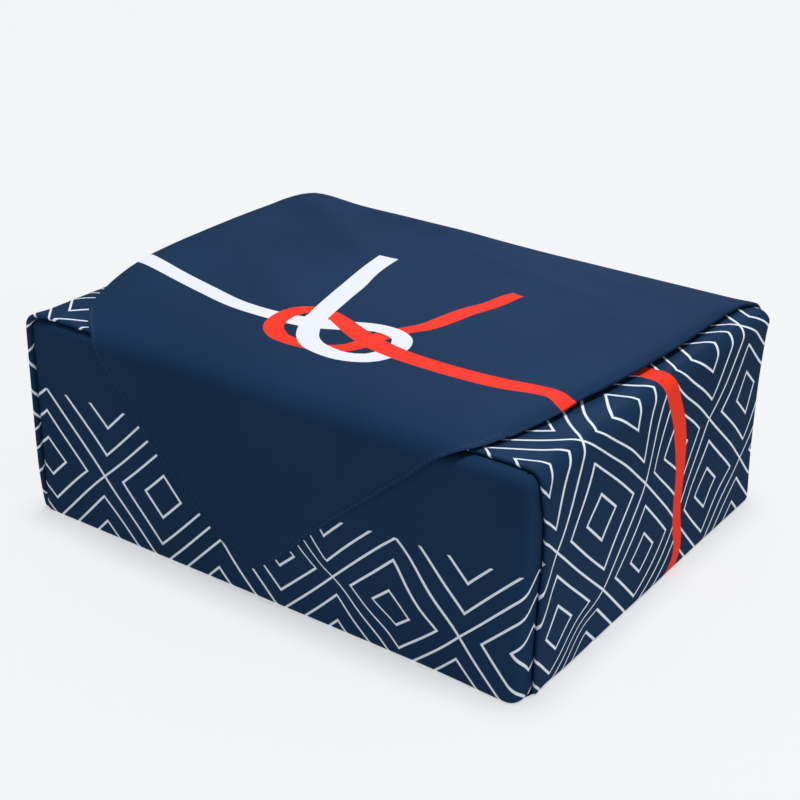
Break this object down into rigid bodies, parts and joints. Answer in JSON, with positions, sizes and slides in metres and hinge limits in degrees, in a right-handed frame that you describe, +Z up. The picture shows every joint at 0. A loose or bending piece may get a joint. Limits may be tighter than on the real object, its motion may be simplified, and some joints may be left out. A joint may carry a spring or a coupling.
{
  "type": "furoshiki wrap on a gift box",
  "caption": "Square furoshiki cloth wrapped flat round a low rectangular gift carton, its last corner folded over the lid and hanging down the front.",
  "frame": {"origin": "middle of the base of the wrapped box, on the surface it stands on", "axes": "+X along the long side, to the right seen from the front; +Y to the back; +Z up; the hanging corner is on the -Y side"},
  "size_m": [0.2606, 0.2146, 0.1049],
  "materials": {
    "cloth": "matt plain weave, printed",
    "carton": "uncoated grey board"
  },
  "bodies": {
    "root": {"cloth": "cloth", "carton": "carton"}
  },
  "joints": []
}
